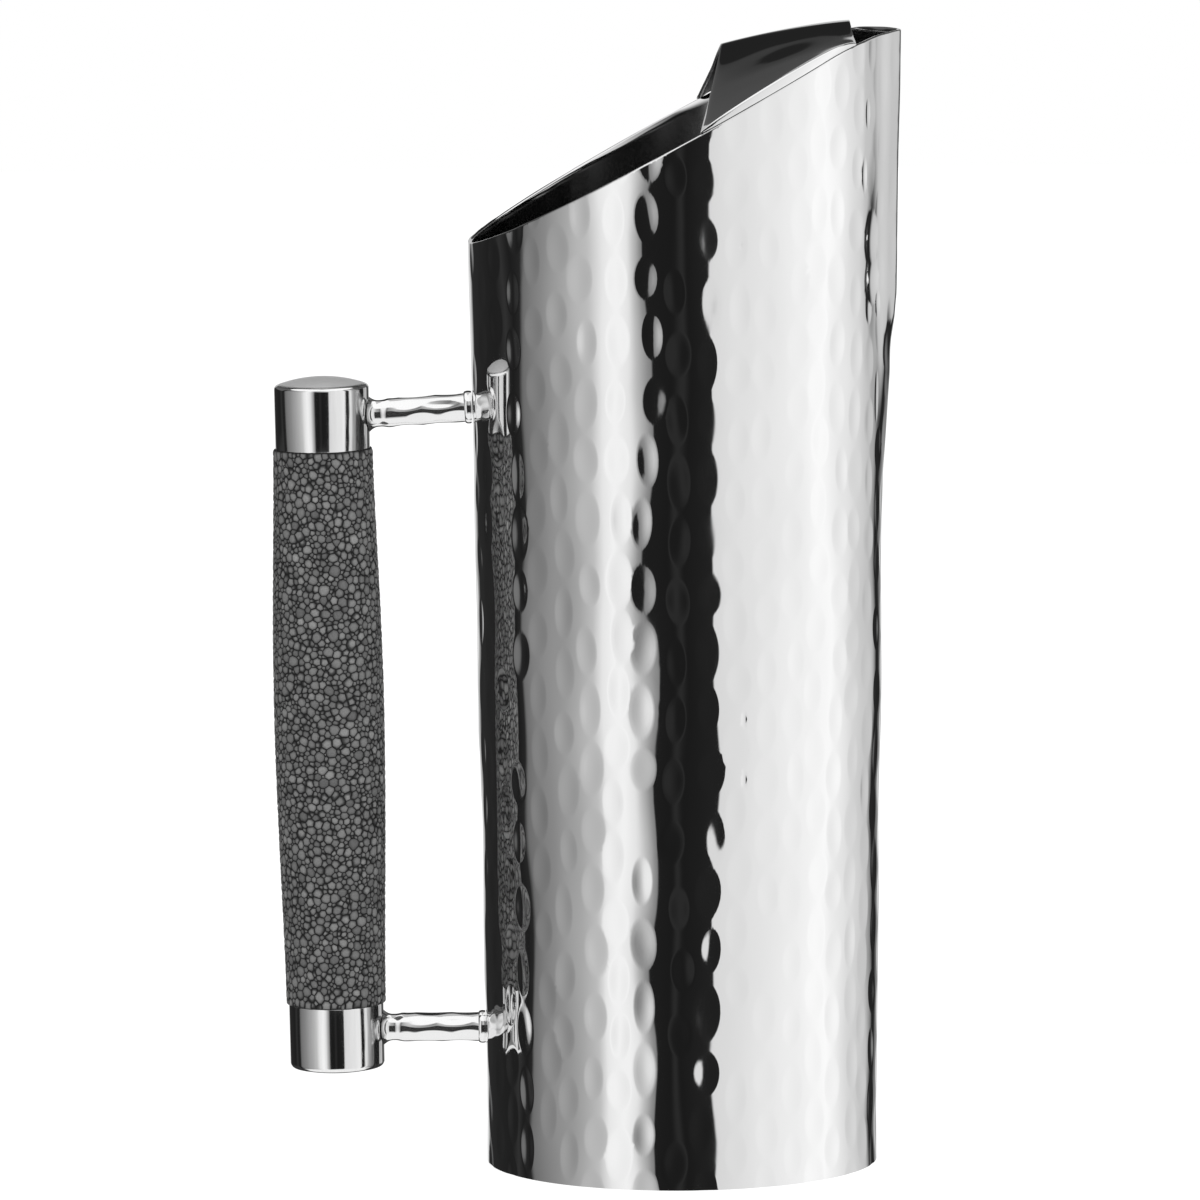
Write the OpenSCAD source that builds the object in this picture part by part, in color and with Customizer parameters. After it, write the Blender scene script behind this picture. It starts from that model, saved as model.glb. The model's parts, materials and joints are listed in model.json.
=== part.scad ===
// Tall hammered steel pitcher with a slanted rim, a pulled spout under a folded ice guard,
// and a leather-wrapped grip held by two posts. +Z up, spout towards +X, handle towards -X.
// The origin is the centre of the base, on the table.

/* [Body] */
// Outside radius of the body at the table
base_radius = 52; // [45:0.5:60]
// How much wider the body's radius is at the gauge height than at the table
body_widening = 3.5; // [0.5:0.25:8]
// Height at which that widening is measured
gauge_height = 240; // [180:5:300]
// Thickness of the body sheet
sheet_t = 1; // [0.6:0.1:1.6]
// Thickness of the base disc
base_t = 1.2; // [0.8:0.1:3]

/* [Rim and spout] */
// Height of the slanted rim over the axis of the body
rim_height = 275.9; // [255:0.5:310]
// Slope of the rim, rising from the handle to the spout, in degrees
rim_angle = 27.8; // [20:0.1:32]
// How far the rim levels out below the line of its slope at the spout's tip
rim_levelling = 5.5; // [2:0.1:9]
// Height at which the spout starts to leave the round body
spout_start = 186; // [150:1:210]
// Height at which the spout has come out of the round body
spout_full = 234; // [215:1:245]
// How far the spout stands out once it has come out
spout_depth = 3; // [1.5:0.1:6]
// What the spout gains from there up to its tip
spout_flare = 0.7; // [0:0.1:2]
// Radius of the spout's nose, seen from above
nose_radius = 6; // [3:0.5:12]

/* [Ice guard] */
// Thickness of the guard sheet
guard_t = 1; // [0.6:0.1:1.4]
// Angle from the spout to the guard's edge over the mouth, in degrees
guard_mouth_angle = 84.8; // [70:0.2:90]
// Angle from the spout to the guard's edge at the pouring gap, in degrees
guard_spout_angle = 33.2; // [25:0.2:45]
// Height of the guard's upright flange over the rim
guard_flange = 2.1; // [1.8:0.1:4]
// Radius of the bend between the flange and the panels
guard_bend = 1.8; // [1.4:0.1:2.4]
// Radius of the fold along the ridge
ridge_bend = 4; // [2:0.5:8]
// Distance of the ridge's low end from the axis of the body
ridge_low_x = 12.3; // [5:0.1:20]
// Distance of the ridge's high end from the axis of the body
ridge_high_x = 46; // [38:0.1:48]
// Lift of the ridge's low end over the rim beside it
ridge_low_lift = 16.8; // [10:0.1:24]
// Lift of the ridge's high end over the rim beside it
ridge_high_lift = 5.2; // [4:0.1:10]
// Upward bow of the ridge between its ends
ridge_bow = 0.65; // [0:0.05:2]

/* [Handle] */
// Distance from the wall of the body to the axis of the handle
handle_reach = 39.5; // [32:0.5:50]
// Height of the handle's lower end over the table
handle_base = 24.1; // [15:0.1:50]
// Length of the leather grip
grip_length = 149; // [100:1:160]
// Outside diameter of the grip at its ends
grip_end_d = 26.6; // [24:0.1:32]
// Outside diameter of the grip at its fullest
grip_full_d = 29.5; // [27:0.1:38]
// Thickness of the leather wrap
wrap_t = 1; // [0.6:0.1:1.5]
// Outside diameter of the end caps
cap_d = 25.2; // [22:0.1:30]
// Height of each end cap with its crown
cap_h = 18.5; // [15:0.1:26]
// Wall of the end caps
cap_wall = 1.2; // [0.8:0.1:2]
// Crown of the upper cap
upper_crown = 2; // [0.2:0.1:3]
// Crown of the lower cap
lower_crown = 1.3; // [0.2:0.1:2]
// Edge radius of the upper cap
upper_edge = 0.5; // [0.4:0.1:2]
// Edge radius of the lower cap
lower_edge = 1.5; // [0.4:0.1:2]

/* [Posts] */
// Diameter of the posts
post_d = 7.8; // [6:0.1:10]
// Height of the upper post's centre over the grip's upper end
upper_post_offset = 8.2; // [7:0.1:10]
// Depth of the lower post's centre under the grip's lower end
lower_post_offset = 6.7; // [6:0.1:10]
// Rise of the upper post towards the body, in degrees
upper_post_tilt = 3.7; // [-6:0.1:6]
// Rise of the lower post towards the body, in degrees
lower_post_tilt = 0; // [-6:0.1:6]
// Diameter of the flare where a post meets its cap
flare_d = 9.4; // [8:0.1:12]
// Length of that flare
flare_length = 2.4; // [1:0.1:5]
// Diameter of the neck behind the flare
neck_d = 7.1; // [5:0.1:9]
// Outside diameter of the collar where a post meets the body
collar_d = 8.8; // [8.4:0.1:12]
// Length of the collar
collar_length = 2; // [1:0.1:4]

/* [Inside the grip] */
// Diameter of the tie rod
rod_d = 6; // [4:0.5:8]
// Length of the core's tenon inside each cap
tenon_length = 11; // [8:0.5:12]
// Outside diameter of the threaded inserts in the caps
insert_d = 12; // [10:0.5:16]

/* [Fits] */
// Gap at pieces that are welded or glued together
weld_gap = 0.05; // [0.02:0.01:0.1]
// Gap around pieces that slide together
slide_gap = 0.15; // [0.05:0.05:0.3]

/* [Hidden] */

// How far a cut runs past what it cuts
overrun = 1;
// Facet counts of the round pieces and of the lofted shells
round_facets = 96;
spout_steps = 12;
spout_fine_angle = 30;
plain_angle_step = 5;
spout_angle_step = 2.5;
guard_steps = 12;
bend_steps = 3;
arc_steps = 6;
grip_steps = 20;
// How sharply the grip swells towards its middle
grip_swell_power = 1.5;
// Share of the grip's length, from its lower end, at which it is fullest
grip_full_share = 0.54;
// Colours
steel = "silver";
leather = "dimgray";
wood = "tan";

gauge_radius = base_radius + body_widening;
wall_lean = atan(body_widening / gauge_height);
cap_r = cap_d / 2;
cap_bore_r = cap_r - cap_wall;
grip_bottom = handle_base + cap_h;
grip_top = grip_bottom + grip_length;
handle_x = base_radius + handle_reach;
rod_r = rod_d / 2;

// Radius of the plain cone at a height
function cone_r(z) = base_radius + body_widening * z / gauge_height;

// The line of the rim's slope, seen from the side, and the spout's tip under it
function slope_z(x) = rim_height + tan(rim_angle) * x;
function tip_x() = cone_r(slope_z(gauge_radius) - rim_levelling) + spout_depth + spout_flare;
level_length = 2 * rim_levelling / tan(rim_angle);
tip_z = slope_z(tip_x()) - rim_levelling;

// Height of the rim over a place along X: a slope that levels out along a parabola at the spout
function rim_z(x) = let (from = tip_x() - level_length)
    x < from ? slope_z(x)
        : tip_z - rim_levelling * pow((tip_x() - x) / level_length, 2);

// How far the spout stands out of the cone at a height
function ease(t) = let (u = min(1, max(0, t))) u * u * (3 - 2 * u);
function spout_out(z) = spout_depth * ease((z - spout_start) / (spout_full - spout_start))
    + spout_flare * max(0, (z - spout_full) / (tip_z - spout_full));

// Radius of the wall at an angle from the spout and a height, for a wall set in by some depth.
// In plan the spout is the straight sides that join the round body to the smaller round nose.
function wall_r(angle, z, inset) = let (
        big = cone_r(z) - inset,
        nose = nose_radius - inset,
        reach = big + spout_out(z) - nose,
        side = acos(min(1, (big - nose) / reach)),
        turn = min(abs(angle), 360 - abs(angle)),
        nose_turn = atan2(nose * sin(side), reach + nose * cos(side)))
    turn >= side ? big
        : turn >= nose_turn ? big / cos(side - turn)
        : reach * cos(turn) + sqrt(pow(nose, 2) - pow(reach * sin(turn), 2));

// Height of the rim at an angle from the spout
function rim_at(angle, inset, tries = 4, z = gauge_height) =
    tries == 0 ? z
        : rim_at(angle, inset, tries - 1, rim_z(wall_r(angle, z, inset) * cos(angle)));

function wall_point(angle, z, inset) = let (r = wall_r(angle, z, inset))
    [r * cos(angle), r * sin(angle), z];

// Faces between rings of points that follow each other, with the last ring joined to the first
// when the loft closes on itself
function loft_faces(rings, count, closed) = [
    for (i = [0 : rings - (closed ? 1 : 2)], j = [0 : count - 1])
        let (a = i * count + j, b = i * count + (j + 1) % count,
            c = ((i + 1) % rings) * count + (j + 1) % count, d = ((i + 1) % rings) * count + j)
        each [[a, b, c], [a, c, d]]];

function share_list(steps) = [for (i = [0 : steps]) i / steps];

// Rounded corner: the points of a quadratic curve between two ends, pulled to the corner
function corner(from, peak, to, steps) = [
    for (t = share_list(steps)) (1 - t) * (1 - t) * from + 2 * t * (1 - t) * peak + t * t * to];

function arc_points(centre, radius, from, to, steps) = [
    for (t = share_list(steps)) let (a = from + (to - from) * t)
        centre + radius * [cos(a), sin(a)]];

// The hammered sheet of the body, smooth here, from the table to the slanted rim
module body_shell() {
    angles = [
        each [for (a = [-spout_fine_angle : spout_angle_step : spout_fine_angle]) a],
        each [for (a = [spout_fine_angle + plain_angle_step : plain_angle_step
            : 360 - spout_fine_angle - plain_angle_step]) a]];
    shares = share_list(spout_steps);
    points = [for (a = angles)
        let (outer_rim = rim_at(a, 0), inner_rim = rim_at(a, sheet_t))
        each concat(
            [wall_point(a, 0, 0)],
            [for (t = shares) wall_point(a, spout_start + (outer_rim - spout_start) * t, 0)],
            [for (i = [0 : spout_steps]) let (t = shares[spout_steps - i])
                wall_point(a, spout_start + (inner_rim - spout_start) * t, sheet_t)],
            [wall_point(a, 0, sheet_t)])];
    color(steel)
        polyhedron(points, loft_faces(len(angles), 2 * spout_steps + 4, true));
}

// The flat base, let into the lower end of the body and flush with it
module base_disc() {
    color(steel)
        cylinder(h = base_t, r = base_radius - sheet_t - weld_gap, $fn = round_facets);
}

// The ridge of the guard, at a share of its length
function ridge_point(t) = let (
        x = ridge_low_x + (ridge_high_x - ridge_low_x) * t,
        low = rim_z(ridge_low_x) + ridge_low_lift,
        high = rim_z(ridge_high_x) + ridge_high_lift)
    [x, 0, low + (high - low) * t + ridge_bow * 4 * t * (1 - t)];

// Half of the guard's section at a share of its length, from its foot on the rim to the ridge,
// for the face that lies some depth inside the outer one
function guard_half(t, inset) = let (
        angle = guard_mouth_angle + (guard_spout_angle - guard_mouth_angle) * t,
        rim = rim_at(angle, 0),
        outer = wall_point(-angle, rim, 0),
        foot_xy = wall_point(-angle, rim, inset),
        foot = [foot_xy.x, foot_xy.y, rim_z(foot_xy.x) + weld_gap],
        ridge = ridge_point(t),
        shoulder = [outer.x, outer.y, rim + guard_flange],
        run = norm([ridge.x - shoulder.x, ridge.y - shoulder.y]),
        slope = (ridge.z - shoulder.z) / run,
        drop = inset * sqrt(1 + slope * slope),
        bend = [foot.x, foot.y, shoulder.z + inset * slope - drop],
        peak = [ridge.x, 0, ridge.z - drop],
        along = (peak - bend) / norm(peak - bend),
        bend_r = guard_bend - inset)
    concat([foot],
        corner(bend - [0, 0, bend_r], bend, bend + along * bend_r, bend_steps),
        corner(peak - along * ridge_bend, peak - along * ridge_bend / 2,
            [peak.x, 0, peak.z - along.z * ridge_bend / 2], bend_steps));

function mirrored(points) = [for (i = [len(points) - 2 : -1 : 0])
    [points[i].x, -points[i].y, points[i].z]];

function reversed(points) = [for (i = [len(points) - 1 : -1 : 0]) points[i]];

// The folded roof over the spout, whose flanges stand on the rim of the body
module ice_guard() {
    stations = share_list(guard_steps);
    rings = [for (t = stations)
        let (outer = guard_half(t, 0), inner = guard_half(t, guard_t))
        concat(outer, mirrored(outer), reversed(concat(inner, mirrored(inner))))];
    count = len(rings[0]);
    last = (len(stations) - 1) * count;
    ends = [for (j = [0 : count / 2 - 2])
        let (a = j, b = j + 1, c = count - 2 - j, d = count - 1 - j)
        each [[a, c, b], [a, d, c], [last + a, last + b, last + c], [last + a, last + c, last + d]]];
    color(steel)
        polyhedron([for (ring = rings) each ring],
            concat(loft_faces(len(stations), count, false), ends));
}

// Places a piece of the handle: along the handle's own axis, which runs beside the wall
module on_handle() {
    translate([-handle_x, 0, 0])
        rotate([0, -wall_lean, 0])
            children();
}

// An end cap, opening downwards, with its rim at the origin. The rounding of its edge runs
// smoothly into the crown.
module cap(crown, edge) {
    edge_run = (pow(cap_r - edge, 2) + pow(crown, 2)) / (2 * crown);
    dome_r = edge_run + edge;
    dome_angle = asin((cap_r - edge) / edge_run);
    color(steel)
        rotate_extrude($fn = round_facets)
            polygon(concat(
                [[cap_bore_r, 0], [cap_r, 0]],
                arc_points([cap_r - edge, cap_h - crown - edge], edge, 0, 90 - dome_angle, arc_steps),
                arc_points([0, cap_h - dome_r], dome_r, 90 - dome_angle, 90, arc_steps),
                [[0, cap_depth(crown)], [cap_bore_r, cap_depth(crown)]]));
}

// Depth of a cap's bore
function cap_depth(crown) = cap_h - crown - cap_wall;

module upper_cap() {
    on_handle() translate([0, 0, grip_top]) cap(upper_crown, upper_edge);
}

module lower_cap() {
    on_handle() translate([0, 0, grip_bottom]) mirror([0, 0, 1]) cap(lower_crown, lower_edge);
}

// A threaded insert, welded inside the closed end of a cap
module insert(crown) {
    insert_h = cap_depth(crown) - tenon_length - slide_gap - weld_gap;
    color(steel)
        translate([0, 0, tenon_length + slide_gap])
            difference() {
                cylinder(h = insert_h, d = insert_d, $fn = round_facets);
                translate([0, 0, -overrun])
                    cylinder(h = insert_h + 2 * overrun, r = rod_r + weld_gap, $fn = round_facets);
            }
}

module upper_insert() {
    on_handle() translate([0, 0, grip_top]) insert(upper_crown);
}

module lower_insert() {
    on_handle() translate([0, 0, grip_bottom]) mirror([0, 0, 1]) insert(lower_crown);
}

// The threaded rod that pulls the two caps onto the core
module tie_rod() {
    from = grip_bottom - cap_depth(lower_crown) + weld_gap;
    to = grip_top + cap_depth(upper_crown) - weld_gap;
    color(steel)
        on_handle() translate([0, 0, from])
            cylinder(h = to - from, r = rod_r, $fn = round_facets);
}

// Radius of the grip at a share of its length, set in by some depth
function grip_r(t, inset) = let (
        turn = t < grip_full_share ? 90 * t / grip_full_share
            : 90 + 90 * (t - grip_full_share) / (1 - grip_full_share))
    grip_end_d / 2 + (grip_full_d - grip_end_d) / 2 * pow(sin(turn), grip_swell_power) - inset;

// One side of the grip's outline, as a list from its lower end to its upper end
function grip_side(inset) = [for (t = share_list(grip_steps))
    [grip_r(t, inset), grip_bottom + grip_length * t]];

// The turned core inside the leather, with a tenon for each cap and a bore for the tie rod
module grip_core() {
    tenon_r = cap_bore_r - slide_gap;
    bore_r = rod_r + slide_gap;
    color(wood)
        on_handle()
            rotate_extrude($fn = round_facets)
                polygon(concat(
                    [[bore_r, grip_bottom - tenon_length], [tenon_r, grip_bottom - tenon_length],
                        [tenon_r, grip_bottom + weld_gap],
                        [grip_r(0, wrap_t + weld_gap), grip_bottom + weld_gap]],
                    [for (i = [1 : grip_steps - 1]) grip_side(wrap_t + weld_gap)[i]],
                    [[grip_r(1, wrap_t + weld_gap), grip_top - weld_gap],
                        [tenon_r, grip_top - weld_gap], [tenon_r, grip_top + tenon_length],
                        [bore_r, grip_top + tenon_length]]));
}

// The leather sleeve round the core, from cap to cap
module grip_wrap() {
    color(leather)
        on_handle()
            rotate_extrude($fn = round_facets)
                polygon(concat(
                    [[grip_r(0, wrap_t), grip_bottom + weld_gap], [grip_r(0, 0), grip_bottom + weld_gap]],
                    [for (i = [1 : grip_steps - 1]) grip_side(0)[i]],
                    [[grip_r(1, 0), grip_top - weld_gap], [grip_r(1, wrap_t), grip_top - weld_gap]],
                    [for (i = [1 : grip_steps - 1]) grip_side(wrap_t)[grip_steps - i]]));
}

// Places a piece of a post: +Z along the post, from the handle's axis towards the body
module along_post(height, tilt) {
    on_handle() translate([0, 0, height])
        rotate([0, 90 + wall_lean - tilt, 0])
            children();
}

// What a post's pieces are cut back from: the wall of the body
module body_clearance() {
    top = rim_height;
    cylinder(h = top, r1 = cone_r(0) + weld_gap, r2 = cone_r(top) + weld_gap, $fn = round_facets);
}

// A post, cut to the round of its cap and of the body
module post(height, tilt) {
    flare_from = cap_r - flare_length;
    span = handle_reach + overrun;
    color(steel)
        difference() {
            along_post(height, tilt)
                rotate_extrude($fn = round_facets)
                    polygon([[0, flare_from], [flare_d / 2, flare_from], [flare_d / 2, cap_r],
                        [neck_d / 2, cap_r + flare_length], [neck_d / 2, cap_r + 1.5 * flare_length],
                        [post_d / 2, cap_r + 2 * flare_length], [post_d / 2, span], [0, span]]);
            on_handle() cylinder(h = grip_top + cap_h, r = cap_r + weld_gap, $fn = round_facets);
            body_clearance();
        }
}

module upper_post() {
    post(grip_top + upper_post_offset, upper_post_tilt);
}

module lower_post() {
    post(grip_bottom - lower_post_offset, lower_post_tilt);
}

// The collar that a post's inner end passes through, cut to the round of the body
module collar(height, tilt) {
    color(steel)
        difference() {
            along_post(height, tilt)
                translate([0, 0, handle_reach - collar_length])
                    difference() {
                        cylinder(h = collar_length + overrun, d = collar_d, $fn = round_facets);
                        translate([0, 0, -overrun])
                            cylinder(h = collar_length + 3 * overrun, r = post_d / 2 + weld_gap,
                                $fn = round_facets);
                    }
            body_clearance();
        }
}

module upper_collar() {
    collar(grip_top + upper_post_offset, upper_post_tilt);
}

module lower_collar() {
    collar(grip_bottom - lower_post_offset, lower_post_tilt);
}

body_shell();
base_disc();
ice_guard();
upper_post();
lower_post();
upper_collar();
lower_collar();
upper_cap();
lower_cap();
upper_insert();
lower_insert();
tie_rod();
grip_core();
grip_wrap();
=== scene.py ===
import json
import math
import random
from math import acos, asin, atan, atan2, cos, hypot, pi, radians, remainder, sin, sqrt, tan

import bpy
from mathutils import Matrix, Vector, noise
from mathutils.geometry import delaunay_2d_cdt

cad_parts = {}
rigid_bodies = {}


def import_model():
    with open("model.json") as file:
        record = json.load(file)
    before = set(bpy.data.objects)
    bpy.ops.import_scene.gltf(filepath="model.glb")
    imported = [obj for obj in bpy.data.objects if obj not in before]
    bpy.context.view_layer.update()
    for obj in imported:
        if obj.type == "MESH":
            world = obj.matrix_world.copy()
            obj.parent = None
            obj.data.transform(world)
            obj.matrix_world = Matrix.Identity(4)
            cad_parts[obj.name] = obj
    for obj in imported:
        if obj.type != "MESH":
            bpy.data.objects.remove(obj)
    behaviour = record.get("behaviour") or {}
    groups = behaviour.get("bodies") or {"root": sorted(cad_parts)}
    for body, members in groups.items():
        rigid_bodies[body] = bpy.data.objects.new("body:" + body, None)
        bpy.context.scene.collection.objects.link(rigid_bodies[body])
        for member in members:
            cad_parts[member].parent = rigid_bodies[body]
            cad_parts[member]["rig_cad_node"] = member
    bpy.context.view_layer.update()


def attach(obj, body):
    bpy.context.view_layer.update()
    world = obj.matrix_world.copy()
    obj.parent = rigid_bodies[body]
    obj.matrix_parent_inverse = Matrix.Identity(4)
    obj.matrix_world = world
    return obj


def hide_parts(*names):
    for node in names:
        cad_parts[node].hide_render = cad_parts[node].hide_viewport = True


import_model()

# Tall hammered steel pitcher with a folded ice guard and a shagreen grip.
# Sizes are in millimetres and angles in degrees unless a note says otherwise.
mm = 0.001
fullTurn = 2 * pi
tiny = 0.001            # places closer than this count as one
netTolerance = 1e-7     # the same for the points of a flat net
setMode = bpy.ops.object.mode_set


# Small helpers for modelling
def clamp(t):
    return min(1.0, max(0.0, t))


def ease(t):
    t = clamp(t)
    return t * t * (3 - 2 * t)


# A place by its distance from the axis, its angle in radians and its height
def polar(radius, angle, z):
    return Vector((radius * cos(angle), radius * sin(angle), z))


# Selects one object, with others if any, and makes it the active one
def pick(obj, *others):
    bpy.ops.object.select_all(action="DESELECT")
    for each in (obj, *others):
        each.select_set(True)
    bpy.context.view_layer.objects.active = obj


# Adds a primitive with nothing else selected
def add(primitive, **settings):
    bpy.ops.object.select_all(action="DESELECT")
    primitive(**settings)
    return bpy.context.object


# An object made of places and faces
def newPiece(name, places, faces):
    mesh = bpy.data.meshes.new(name)
    mesh.from_pydata(places, [], faces)
    piece = bpy.data.objects.new(name, mesh)
    bpy.context.scene.collection.objects.link(piece)
    return piece


# Stores a value at each vertex
def store(obj, name, values, kind="FLOAT", field="value"):
    obj.data.attributes.new(name, kind, "POINT").data.foreach_set(field, values)


# Opens a mesh with the edges selected whose two ends pass a test, or the faces whose middle and
# normal do
def choose(obj, kind, test):
    pick(obj)
    setMode(mode="EDIT")
    bpy.ops.mesh.select_mode(type=kind)
    bpy.ops.mesh.select_all(action="DESELECT")
    setMode(mode="OBJECT")
    if kind == "FACE":
        for face in obj.data.polygons:
            face.select = test(face.center, face.normal)
    else:
        places = [vertex.co for vertex in obj.data.vertices]
        for edge in obj.data.edges:
            a, b = edge.vertices
            edge.select = test(places[a], places[b])
    setMode(mode="EDIT")


def edit(obj, kind, test, step, **settings):
    choose(obj, kind, test)
    step(**settings)
    setMode(mode="OBJECT")


def editAll(obj, step, **settings):
    pick(obj)
    setMode(mode="EDIT")
    bpy.ops.mesh.select_all(action="SELECT")
    step(**settings)
    setMode(mode="OBJECT")


def faceOut(obj):
    editAll(obj, bpy.ops.mesh.normals_make_consistent, inside=False)


def isUpright(a, b):
    return abs(a.z - b.z) > 0.5


# Moves every vertex to where a rule puts it
def shape(obj, rule):
    for vertex in obj.data.vertices:
        vertex.co = rule(vertex.co)
    obj.data.update()


def addModifier(obj, kind, **settings):
    pick(obj)
    modifier = obj.modifiers.new(kind, kind)
    for name, value in settings.items():
        setattr(modifier, name, value)
    bpy.ops.object.modifier_apply(modifier=modifier.name)


# An open tube with its middle at the origin and a height of 1
def makeTube(sides, rows, radius):
    tube = add(bpy.ops.mesh.primitive_cylinder_add, vertices=sides, radius=radius, depth=1,
               end_fill_type="NOTHING")
    edit(tube, "EDGE", isUpright, bpy.ops.mesh.subdivide, number_cuts=rows - 1)
    return tube


def joinPieces(main, other):
    pick(main, other)
    bpy.ops.object.join()
    return main


# Gives a finished piece its name, finish and place in the assembly
def settle(obj, name, node, material, sharpAngle):
    faceOut(obj)
    obj.name = name
    obj.data.name = name
    bpy.ops.object.shade_smooth_by_angle(angle=radians(sharpAngle))
    obj.data.materials.clear()
    obj.data.materials.append(material)
    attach(obj, "root")
    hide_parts(node)
    print(name, len(obj.data.polygons), "faces")


# The shape of the body
body = {
    "baseRadius": 52.0, "widening": 3.5, "gaugeHeight": 240.0,
    "sheet": 1.0,
    "rimHeight": 275.9, "rimAngle": 27.8, "rimLevelling": 5.5,
    "spoutStart": 184.0, "spoutFull": 232.0, "spoutEase": 1.08,
    "spoutDepth": 3.2, "spoutFlare": 0.5, "spoutNose": 8.5,
    "noseAngle": 3.1, "creaseAngle": 27.7,
    "sideHollow": 0.42,     # hollow of the spout's sides: depth, and the shares of the side
    "hollowMiddle": 0.5,    # between its crease and its nose at which it is deepest and ends
    "hollowEnd": 0.8,
    "sides": 540,
    "innerRows": 20,
    "innerCrowding": 1.6,   # packs the inner rows towards the rim
    "innerGap": 0.5,        # how much further in the smooth inner wall lies
    "rimSupport": 0.35,     # the row that keeps the rim's rounding narrow
    "rimRoom": 0.1,         # free of points below that row, and above the foot
    "footRoom": 0.5,
    "slopeStep": 0.5,       # how far apart the two points are that a slope is taken from
    "unroll": 54.0,         # radius at which the wall is laid flat to be meshed
    "squash": 0.49,         # share of its height that it keeps there, so that the blows are round
    "seamOverlap": 0.2,     # radians that the flat wall is carried on past its seam
    "blowRings": [(1.0, 26), (0.8, 24), (0.55, 18), (0.3, 10), (0.1, 4)],
    "blowSlack": 0.01,      # a ring's point is kept unless another blow is this much deeper there
    "pointRoom": 0.3,
    "plainRoom": 1.7,       # spacing of the points between the blows
    "spoutRoom": 0.9,
    "spoutMargin": 4.0,
    "creaseRoom": 1.0,
    "scatter": 0.4,         # how far those points stray and how close they may come, as shares
    "crowding": 0.62,       # of the spacing, with the height between their rows
    "rowStep": 0.9,
    "sharpAngle": 60,       # edges sharper than this show as edges
}
crease = radians(body["creaseAngle"])
rimDrop = body["sheet"] / 4
rimSlope = tan(radians(body["rimAngle"]))
wallLean = atan(body["widening"] / body["gaugeHeight"])
levelLength = 2 * body["rimLevelling"] / rimSlope


def coneRadius(z):
    return body["baseRadius"] + body["widening"] * z / body["gaugeHeight"]


def slopeHeight(x):
    return body["rimHeight"] + rimSlope * x


gaugeRadius = coneRadius(body["gaugeHeight"])
tipX = (coneRadius(slopeHeight(gaugeRadius) - body["rimLevelling"])
        + body["spoutDepth"] + body["spoutFlare"])
tipZ = slopeHeight(tipX) - body["rimLevelling"]


def rimHeightAt(x):
    if x < tipX - levelLength:
        return slopeHeight(x)
    return tipZ - body["rimLevelling"] * ((tipX - x) / levelLength) ** 2


# Radius of the spout's plan: flat sides from a crease to a small round nose
def spoutPlan(turn, radius, tip):
    nose = body["spoutNose"]
    along = tip - nose - radius * cos(crease)
    across = radius * sin(crease)
    sideNormal = acos(-nose / hypot(along, across)) - atan2(across, along)
    noseTurn = atan2(nose * sin(sideNormal), tip - nose + nose * cos(sideNormal))
    if turn >= crease:
        return radius
    if turn >= noseTurn:
        return radius * cos(crease - sideNormal) / cos(turn - sideNormal)
    centre = tip - nose
    return centre * cos(turn) + sqrt(nose ** 2 - (centre * sin(turn)) ** 2)


def spoutShare(z):
    return clamp((z - body["spoutStart"])
                 / (body["spoutFull"] - body["spoutStart"])) ** body["spoutEase"]


# Radius of the smooth wall at an angle from the spout, in radians, and a height
def wallRadius(angle, z):
    radius = coneRadius(z)
    turn = abs(remainder(angle, fullTurn))
    share = spoutShare(z)
    if share == 0.0 or turn > crease:
        return radius
    flare = max(0.0, (z - body["spoutFull"]) / (tipZ - body["spoutFull"]))
    tip = radius + body["spoutDepth"] + body["spoutFlare"] * flare
    side = ((body["creaseAngle"] - math.degrees(turn))
            / (body["creaseAngle"] - body["noseAngle"]))
    middle, end = body["hollowMiddle"], body["hollowEnd"]
    hollow = ease(side / middle) - ease((side - middle) / (end - middle))
    return radius + share * (spoutPlan(turn, radius, tip) - radius - body["sideHollow"] * hollow)


def rimAt(angle):
    z = body["gaugeHeight"]
    for _ in range(4):
        z = rimHeightAt(wallRadius(angle, z) * cos(angle))
    return z


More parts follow.
